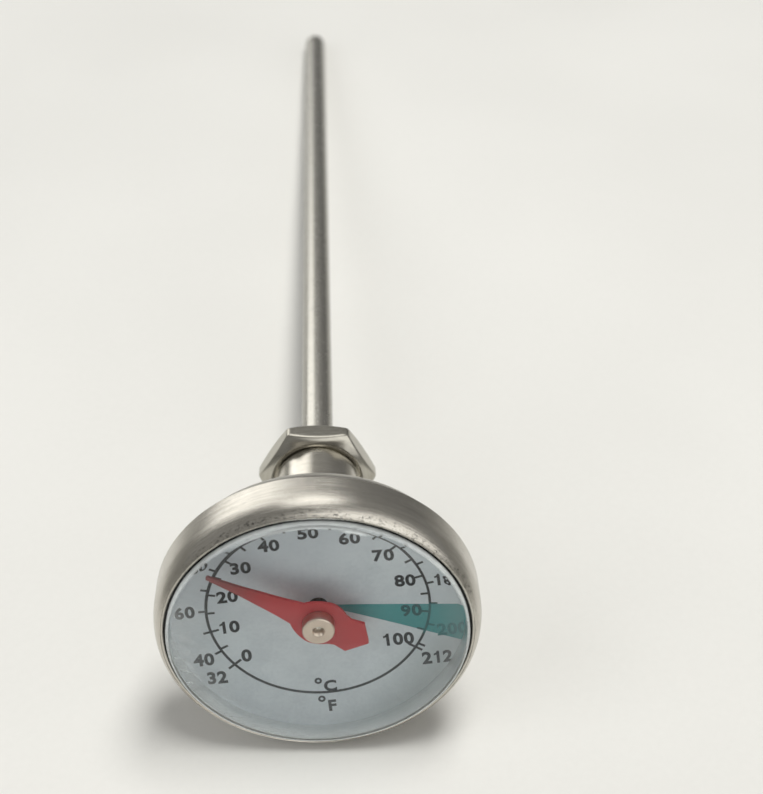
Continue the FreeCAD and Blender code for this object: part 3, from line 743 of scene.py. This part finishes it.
def print_film(name, polygons, material, thick):
    bm = bmesh.new()
    for points in polygons:
        front, back = [[(x * MM, y * MM, z * MM) for x, z in points]
                       for y in (DIAL_Y - thick, FILM_BACK)]
        add_slab(bm, front, back)
    finish_mesh(name, bm, "head", material, sharp=25)


def pressed(r, y, angle):
    """The circle is printed heavier over the upper part of the dial."""
    heavy = max(0.0, math.cos(angle + 0.25)) ** 1.5
    return CIRCLE_RADIUS + (r - CIRCLE_RADIUS) * (0.92 + 0.55 * heavy), y


def build_circle():
    inner, outer = CIRCLE_RADIUS - CIRCLE_WIDTH / 2, CIRCLE_RADIUS + CIRCLE_WIDTH / 2
    front = DIAL_Y - CIRCLE_THICK
    profile = [(inner, FILM_BACK), (outer, FILM_BACK), (outer, front), (inner, front)]
    lathe("dial_circle", profile, "head", INK,
          segments=360, sharp=25, wobble=pressed)


def radial_mark(angle, inner, outer):
    x = MARK_WIDTH / 2
    corners = ((-x, inner), (x, inner), (x, outer), (-x, outer))
    return [turned(corner_x, corner_z, angle) for corner_x, corner_z in corners]


def build_marks():
    """Celsius marks inside the circle, Fahrenheit marks outside it."""
    marks = [radial_mark(celsius_angle(c), CIRCLE_RADIUS - CELSIUS_MARK, CIRCLE_RADIUS)
             for c in range(0, 101, 5)]
    marks += [radial_mark(fahrenheit_angle(f), CIRCLE_RADIUS, CIRCLE_RADIUS + FAHRENHEIT_MARK)
              for f in (32, *range(40, 211, 10), 212)]
    print_film("dial_marks", marks, INK, INK_THICK)


def dial_arc(radius, start, end, steps):
    return [turned(0, radius, start + (end - start) * k / steps) for k in range(steps + 1)]


def build_sector():
    outline = (dial_arc(SECTOR_OUTER, SECTOR_FROM, SECTOR_TO, steps=40)
               + dial_arc(SECTOR_INNER, SECTOR_TO, SECTOR_FROM, steps=10))
    print_film("dial_sector", [outline], TEAL, SECTOR_THICK)


def draw_one(bm):
    add_slab(bm, [(x, y, 0.5) for x, y in ONE_OUTLINE], [(x, y, -0.5) for x, y in ONE_OUTLINE])


def draw_degree(bm, segments=28):
    """A flat ring standing at the top of the unit height."""
    rings = []
    for radius, z in ((DEGREE_OUTER, 0.5), (DEGREE_OUTER, -0.5),
                      (DEGREE_INNER, -0.5), (DEGREE_INNER, 0.5)):
        rings.append([
            bm.verts.new((DEGREE_OUTER + radius * math.cos(TAU * k / segments),
                          1 - DEGREE_OUTER + radius * math.sin(TAU * k / segments), z))
            for k in range(segments)
        ])
    join_rings(bm, rings)


def draw_font(bm, character):
    """The character in the built-in font, slightly emboldened."""
    curve = bpy.data.curves.new("glyph", "FONT")
    curve.body = character
    curve.size = 1.0
    curve.extrude = 0.5
    curve.offset = 0.038
    curve.resolution_u = 5
    obj = link_object("glyph", curve)
    bpy.context.view_layer.update()
    evaluated = obj.evaluated_get(bpy.context.evaluated_depsgraph_get())
    mesh = bpy.data.meshes.new_from_object(evaluated)
    bm.from_mesh(mesh)
    bpy.data.objects.remove(obj)
    bpy.data.curves.remove(curve)
    bpy.data.meshes.remove(mesh)
    bmesh.ops.remove_doubles(bm, verts=bm.verts, dist=1e-4)


@cache
def glyph(character):
    """(vertices, faces, width) of a solid one unit high, its left edge and base at 0."""
    if character == "9":  # a six turned half round
        verts, faces, width = glyph("6")
        return [(width - x, 1.0 - y, z) for x, y, z in verts], faces, width
    bm = bmesh.new()
    if character == "1":
        draw_one(bm)
    elif character == "°":
        draw_degree(bm)
    else:
        draw_font(bm, character)
    xs = [v.co.x for v in bm.verts]
    ys = [v.co.y for v in bm.verts]
    left = min(xs)
    base, scale = min(ys), 1.0 / (max(ys) - min(ys))
    if character == "°":  # keeps its size and its height above the base
        base, scale = 0.0, 1.0
    for v in bm.verts:
        v.co.x = (v.co.x - left) * scale
        v.co.y = (v.co.y - base) * scale
    bm.verts.index_update()
    verts = [tuple(v.co) for v in bm.verts]
    faces = [[v.index for v in face.verts] for face in bm.faces]
    bm.free()
    return verts, faces, (max(xs) - left) * scale


def write(bm, text, x, z, height, cell, stretch=1.0):
    """Upright text centred on (x, z), each character in a cell of that width."""
    start = x - cell * len(text) / 2
    base = z - height / 2
    for i, character in enumerate(text):
        verts, faces, unit_width = glyph(character)
        width = unit_width * height * stretch
        before_middle = 0.62 if character == "1" else 0.5  # a 1 stands left of its cell's middle
        left = start + cell * (i + 0.5) - width * before_middle
        made = [
            bm.verts.new(((left + glyph_x * height * stretch) * MM,
                          (FILM_BACK - INK_THICK * (glyph_z + 0.5)) * MM,
                          (base + glyph_y * height) * MM))
            for glyph_x, glyph_y, glyph_z in verts
        ]
        for face in faces:
            bm.faces.new([made[k] for k in face])


def build_numbers():
    bm = bmesh.new()
    for numbers, angle_of in ((CELSIUS_NUMBERS, celsius_angle),
                              (FAHRENHEIT_NUMBERS, fahrenheit_angle)):
        for reading, radius in numbers:
            x, z = turned(0, radius, angle_of(reading))
            write(bm, str(reading), x, z, DIGIT_HEIGHT, DIGIT_CELL)
    write(bm, "C", x=0.05, z=-13.45, height=LETTER_HEIGHT, cell=1.5, stretch=1.05)
    write(bm, "°", x=-1.40, z=-13.05, height=2.0, cell=1.0)
    write(bm, "F", x=0.0, z=-16.55, height=LETTER_HEIGHT, cell=1.5)
    write(bm, "°", x=-1.25, z=-15.9, height=2.0, cell=1.0)
    finish_mesh("dial_numbers", bm, "head", INK, sharp=25)


# --------------------------------------------------------------------------------------------------
# Nut and stem
# --------------------------------------------------------------------------------------------------

# y of the rings along the nut's outside, closer together at both faces
NUT_STATIONS = [
    NUT_FRONT, -3.97, -3.92, -3.85, *[-3.75 + 0.125 * k for k in range(27)],
    -0.36, -0.26, -0.18, -0.1, -0.05, -0.02, 0.0,
]
# (radius, y) from the rear face in through the bore, up the spigot and back to the front face
NUT_BORE = [
    (5.0, 0.0), (2.68, 0.0), (2.62, -0.02), (2.34, -0.2), (2.32, -0.26), (2.32, -28.9),
    (3.75, -28.9), (3.95, -28.75), (4.0, -28.6), (4.0, -28.14), (3.4, -28.14), (3.4, -27.56),
    (4.0, -27.56), (4.0, -4.2), (4.05, -4.05), (4.2, NUT_FRONT), (5.5, NUT_FRONT),
    (6.6, NUT_FRONT),
]


def soft_min(a, b, blend):
    """The smaller of two radii, rounded over where they meet."""
    # Measured from the flat, which keeps the exponentials in range.
    total = math.exp(-(a - NUT_FLAT) / blend) + math.exp(-(b - NUT_FLAT) / blend)
    return -blend * math.log(total) + NUT_FLAT


def hexagon(angle):
    """Distance from the axis to the hexagon's side, with the corners slightly broken."""
    sixth = math.pi / 3
    off_flat = (angle - math.radians(NUT_TURN) + sixth / 2) % sixth - sixth / 2
    corner = NUT_FLAT / math.cos(math.pi / 6) - NUT_CORNER_BREAK
    return soft_min(NUT_FLAT / math.cos(off_flat), corner, blend=0.10)


def nut_outside(angle, y):
    """(radius, y): the hexagon cut by a cone at each face."""
    front_cone = 7.15 + (y - NUT_FRONT) * (2.67 / 1.425)
    rear_cone = 7.50 + (-y) * (2.42 / 1.35)
    r = soft_min(soft_min(hexagon(angle), front_cone, blend=0.24), rear_cone, blend=0.10)
    face_edge = 0.06 if y == NUT_FRONT else 0.0
    return r - face_edge, y


def build_nut(segments=480):
    bm = bmesh.new()
    rings = [add_ring(bm, segments, lambda angle: nut_outside(angle, y)) for y in NUT_STATIONS]
    rings += [add_ring(bm, segments, lambda angle: point) for point in NUT_BORE]
    join_rings(bm, rings)
    finish_mesh("nut_hexagon", bm, "stem", NUT, "calibration_nut", sharp=38)


def build_stem(wall_steps=40, tip_steps=14):
    wall = [(STEM_RADIUS, TIP_START * k / wall_steps) for k in range(1, wall_steps)]
    tip = []
    for k in range(tip_steps):
        t = math.pi / 2 * k / tip_steps
        tip.append((STEM_RADIUS * math.cos(t), TIP_START + STEM_RADIUS * math.sin(t)))
    outline = [
        (2.05, -28.6), (2.3, -28.6), (2.3, -0.06), (2.34, -0.02), (STEM_RADIUS, 0.0),
        *wall, *tip, (0.0, TIP_START + STEM_RADIUS),
        (0.0, 175.1), (0.82, 175.1), (1.5, 174.7), (2.05, 173.84),
    ]
    bm = revolve(outline, 128)
    finish_mesh("stem_drawn_tube", bm, "stem", STEM, "stem_tube", sharp=35)


def strip_section():
    """The bimetal strip's section as (radius, height), with rounded corners."""
    inner, outer = HELIX_INNER + STRIP_CORNER, HELIX_OUTER - STRIP_CORNER
    low, high = STRIP_CORNER, STRIP_WIDTH - STRIP_CORNER
    section = []
    for r, height, first in ((outer, high, 0), (inner, high, 90),
                             (inner, low, 180), (outer, low, 270)):
        for k in range(4):
            t = math.radians(first + 30 * k)
            section.append((r + STRIP_CORNER * math.cos(t), height + STRIP_CORNER * math.sin(t)))
    return section


def build_helix(steps_per_turn=40):
    """The coil, a strip wound from the plug end to the collar end."""
    bm = bmesh.new()
    section = strip_section()
    turns = (HELIX_LENGTH - STRIP_WIDTH) / HELIX_PITCH
    steps = int(turns * steps_per_turn)
    rings = []
    for i in range(steps + 1):
        angle = TAU * turns * i / steps
        lift = HELIX_START + HELIX_PITCH * turns * i / steps
        rings.append([
            bm.verts.new((r * math.cos(angle) * MM, (lift + h) * MM, -r * math.sin(angle) * MM))
            for r, h in section
        ])
    join_rings(bm, rings, closed=False)
    bm.faces.new(rings[0])
    bm.faces.new(rings[-1][::-1])
    coil = finish_mesh("bimetal_helix", bm, None, BIMETAL, "bimetal_coil", sharp=40)
    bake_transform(coil)


# --------------------------------------------------------------------------------------------------
# Pointer
# --------------------------------------------------------------------------------------------------

# The blade's right side as (x, z), pointing at twelve o'clock: needle, then body, then tail
NEEDLE_SIDE = [(0.28, 16.3), (0.5, 13.4), (0.65, 11.6), (1.04, 8.6), (1.36, 6.0), (1.85, 3.1)]
BODY_SIDE = [(1.85, 3.1), (2.44, 2.4), (3.08, 1.25), (3.5, -0.3), (3.2, -1.7), (2.6, -2.75)]
TAIL_SIDE = [(2.35, -3.5), (2.36, -3.7), (2.6, -5.3)]
BLADE_TIP = (0.12, 16.42)
TAIL_END = [(0.25, -7.22), (0.0, -7.35), (-0.25, -7.22)]


def build_blade():
    right = [BLADE_TIP, *smooth_line(NEEDLE_SIDE, 5)[:-1], *smooth_line(BODY_SIDE, 6), *TAIL_SIDE]
    outline = right + TAIL_END + [(-x, z) for x, z in reversed(right)]
    small_edge = BLADE_EDGE * 0.3
    layers = [  # outline, y
        (inset(outline, BLADE_EDGE), BLADE_FRONT),
        (inset(outline, small_edge), BLADE_FRONT + small_edge),
        (outline, BLADE_FRONT + BLADE_EDGE),
        (outline, BLADE_BACK - BLADE_EDGE),
        (inset(outline, BLADE_EDGE), BLADE_BACK),
    ]
    bm = bmesh.new()
    rows = []
    for points, y in layers:
        placed = [turned(x, z, POINTER_AT) for x, z in points]
        rows.append([bm.verts.new((x * MM, y * MM, z * MM)) for x, z in placed])
    join_rings(bm, rows, closed=False)
    # The hole for the hub, joined to both faces
    holes = [add_ring(bm, 48, lambda angle: (BLADE_HOLE, y)) for y in (BLADE_FRONT, BLADE_BACK)]
    join_rings(bm, holes, closed=False)
    for row, hole in ((rows[0], holes[0]), (rows[-1], holes[1])):
        edges = [bm.edges.get((loop[k], loop[(k + 1) % len(loop)]))
                 for loop in (row, hole) for k in range(len(loop))]
        bmesh.ops.triangle_fill(bm, use_beauty=True, use_dissolve=False, edges=edges)
    finish_mesh("pointer_needle", bm, "pointer", RED, "pointer_blade", sharp=30)


def build_hub():
    profile = [
        (0.51, -34.9, 0.02), (0.62, -35.3, 0.05), (0.80, -35.6, 0.06), (0.92, -35.65, 0.05),
        (1.96, -35.65, 0.05), (2.08, -35.52, 0.08), (2.08, -34.42, 0.08), (1.98, -34.31, 0.04),
        (1.6, -34.31, 0.02), (1.6, -32.5, 0.06), (1.5, -32.4, 0.06), (0.51, -32.4, 0.03),
    ]
    lathe("pointer_hub_turned", profile, "pointer", HUB, "pointer_hub",
          segments=128, sharp=40)


# --------------------------------------------------------------------------------------------------
# The pieces that keep their CAD mesh
# --------------------------------------------------------------------------------------------------

# node: (material, slot where the record names none)
KEPT = {
    "dial_plate": (DIAL, "dial_paint"),
    "dial_seat_ring": (CASE, "case_steel"),
    "neck_bush": (BRASS, "brass"),
    "neck_o_ring": (RUBBER, "black_rubber"),
    "friction_washer": (STEM, "stem_steel"),
    "retaining_clip": (STEM, "stem_steel"),
    "coil_anchor_plug": (BRASS, "brass"),
    "top_shaft_bush": (BRASS, "brass"),
    "middle_shaft_guide": (BRASS, "brass"),
    "lower_shaft_guide": (BRASS, "brass"),
    "pointer_shaft": (STEM, "stem_steel"),
    "coil_collar": (BRASS, "brass"),
}


def dress_kept_pieces():
    for node, (material, slot) in KEPT.items():
        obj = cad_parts[node]
        obj.data.materials.clear()
        obj.data.materials.append(material)


# --------------------------------------------------------------------------------------------------
# Table, light and camera
# --------------------------------------------------------------------------------------------------

ROOM_TURN = math.radians(6.5)  # the head stands turned on the table by this much
TABLE_SLOPE = math.tan(math.radians(5.58))  # rising to the rear
TABLE_SIZE, TABLE_NEAR, TABLE_CELLS = 9000.0, -2500, 40
TABLE_Z, TABLE_LEVEL_Y = -22.52, -0.28  # the height, and the y at which it holds
TABLE_SHIFT = 30.5  # towards the front

# Soft patches of the world: azimuth, elevation, inner and outer angle, light added
PATCHES = [
    (-33, 25, 7, 25, 1.45),
    (-42, 4, 6, 20, 0.50),
    (-6, 59, 9, 21, 1.60),
    (34, 8, 6, 30, -0.08),
    (135, 38, 20, 54, 1.10),
]

CAMERA_RIGHT = (0.99562946, -0.04063126, -0.08408981)
CAMERA_UP = (0.09197049, 0.58304879, 0.80721467)
CAMERA_FORWARD = (-0.0162303, 0.81142049, -0.58423743)
CAMERA_PLACE = (14.58956246, -173.0674, 136.54109617)


def from_room(x, y, z):
    """A direction or point of the upright room, in the frame of the turned thermometer."""
    cos, sin = math.cos(ROOM_TURN), math.sin(ROOM_TURN)
    return Vector((x * cos + z * sin, y, -x * sin + z * cos))


def direction(azimuth, elevation):
    """A unit vector; azimuth in degrees from the rear (+Y) towards +X."""
    a, e = math.radians(azimuth), math.radians(elevation)
    return from_room(math.sin(a) * math.cos(e), math.cos(a) * math.cos(e), math.sin(e))


def table_material():
    """Pale card, seen from above only; mirror rays alone find it dark far off, a painted shade in
    the steel.
    """
    g = material_graph("floor_card")
    speck = g.noise(g.mm, scale=0.9, detail=4.0, rough=0.6)
    cloud = g.noise(g.mm, scale=0.012)
    tone = g.ramp(g.weighted((speck, 0.25), (cloud, 0.75)), over=(0.3, 0.7))
    colour = g.mix(tone, (0.775, 0.77, 0.745), (0.815, 0.81, 0.785))
    # Painted shade seen only in reflections: glossy rays find the card dark far off
    rear_right = g.times(g.ramp(g.x, over=(15.0, 70.0)), g.ramp(g.y, over=(20.0, 120.0)))
    far_off = g.larger(rear_right, g.ramp(g.x, over=(45.0, 110.0)))
    left_or_front = g.larger(g.ramp(g.x, over=(-60.0, -110.0)), g.ramp(g.y, over=(-150.0, -230.0)))
    far_off = g.larger(far_off, left_or_front)
    mirrored = g.times(far_off, g.add("ShaderNodeLightPath").outputs["Is Glossy Ray"])
    colour = g.mix(g.times(mirrored, 0.75), colour, (0.15, 0.15, 0.14))
    card = g.add("ShaderNodeBsdfDiffuse", {"Color": colour, "Roughness": 0.5}).outputs[0]
    hole = g.add("ShaderNodeBsdfTransparent").outputs[0]
    behind = g.add("ShaderNodeNewGeometry").outputs["Backfacing"]
    return g.output(g.add("ShaderNodeMixShader", {0: behind, 1: card, 2: hole}).outputs[0])


def build_table():
    material = table_material()
    mesh = bpy.data.meshes.new("table_top")
    bm = bmesh.new()
    grid = []
    for i in range(TABLE_CELLS + 1):
        row = []
        for j in range(TABLE_CELLS + 1):
            x = (i / TABLE_CELLS - 0.5) * TABLE_SIZE
            y = TABLE_NEAR + (j / TABLE_CELLS) * TABLE_SIZE
            p = from_room(x, y, TABLE_Z + (y - TABLE_LEVEL_Y) * TABLE_SLOPE)
            row.append(bm.verts.new((p.x * MM, (p.y - TABLE_SHIFT) * MM, p.z * MM)))
        grid.append(row)
    for a, b in zip(grid, grid[1:]):
        for j in range(TABLE_CELLS):
            bm.faces.new((a[j], b[j], b[j + 1], a[j + 1]))
    bm.to_mesh(mesh)
    bm.free()
    table = link_object("table_top", mesh)
    mesh.materials.append(material)


def build_world():
    """Bright patches on a grey ground for mirror rays, and an even light for diffuse ones."""
    g = Graph(bpy.data.worlds.new("studio"))
    unit = g.vmath("NORMALIZE", g.add("ShaderNodeTexCoord").outputs["Generated"])
    level = g.plus(0.29, 0.0)  # the ground's level
    for azimuth, elevation, inner, outer, amount in PATCHES:
        closeness = g.vmath("DOT_PRODUCT", unit, tuple(direction(azimuth, elevation)))
        edge = (math.cos(math.radians(outer)), math.cos(math.radians(inner)))
        level = g.add_to(level, (g.ramp(closeness, over=edge), amount))
    soft = g.times(g.math("SUBTRACT", g.noise(unit, scale=2.6), 0.5), 0.16)
    level = g.larger(g.plus(level, soft), 0.05)
    height = g.vmath("DOT_PRODUCT", unit, tuple(direction(0, 90)))
    even = g.plus(0.18, g.ramp(height, over=(0.0, 1.0), to=(0.0, 0.03)))
    diffuse = g.add("ShaderNodeLightPath").outputs["Is Diffuse Ray"]
    level = g.weighted((level, g.math("SUBTRACT", 1.0, diffuse)), (even, diffuse))
    warm = {0: level, 1: g.times(level, 0.995), 2: g.times(level, 0.965)}
    tint = g.add("ShaderNodeCombineXYZ", warm).outputs[0]
    background = g.add("ShaderNodeBackground", {"Color": tint, "Strength": 1.0}).outputs[0]
    bpy.context.scene.world = g.output(background, "ShaderNodeOutputWorld")


def build_lamp(name, azimuth, elevation, distance, **settings):
    """An area light aimed at the origin and unseen in mirrors; distance and sizes in metres."""
    light = bpy.data.lights.new(name, "AREA")
    for key, value in settings.items():
        setattr(light, key, value)
    lamp = link_object(name, light)
    lamp.location = direction(azimuth, elevation) * distance
    lamp.rotation_mode = "QUATERNION"
    lamp.rotation_quaternion = (-lamp.location).to_track_quat("-Z", "Y")
    lamp.visible_glossy = False


def build_camera():
    camera = bpy.data.cameras.new("camera")
    camera.lens = 63.476
    camera.sensor_width = 36.0
    camera.sensor_fit = "AUTO"
    camera.clip_start, camera.clip_end = 0.01, 20.0
    eye = link_object("camera", camera)
    axes = zip(CAMERA_RIGHT, CAMERA_UP, CAMERA_FORWARD, CAMERA_PLACE)
    rows = [(right, up, -forward, place * MM) for right, up, forward, place in axes]
    eye.matrix_world = Matrix((*rows, (0, 0, 0, 1)))
    camera.dof.use_dof = True
    camera.dof.focus_distance = 0.197
    focus = link_object("focus_point", None)  # keeps the dial sharp from any side
    focus.empty_display_size = 0.002
    focus.location = (0.0, -31.0 * MM, -3.0 * MM)
    camera.dof.focus_object = focus
    camera.dof.aperture_fstop = 29.0
    bpy.context.scene.camera = eye


build_bezel()
build_lens()
build_seal()
build_spacer()
build_case()
build_neck()
build_circle()
build_marks()
build_sector()
build_numbers()
build_nut()
build_stem()
build_helix()
build_blade()
build_hub()
dress_kept_pieces()
build_table()
build_world()
build_lamp("soft_top", azimuth=128, elevation=80, distance=0.7, shape="RECTANGLE",
           size=0.36, size_y=0.20, energy=3.95, color=(1.0, 0.99, 0.96))
build_lamp("soft_front", azimuth=-122, elevation=36, distance=0.75, shape="DISK",
           size=0.5, energy=0.98, color=(0.98, 0.99, 1.0))
build_camera()
bpy.context.scene.view_settings.view_transform = "Standard"
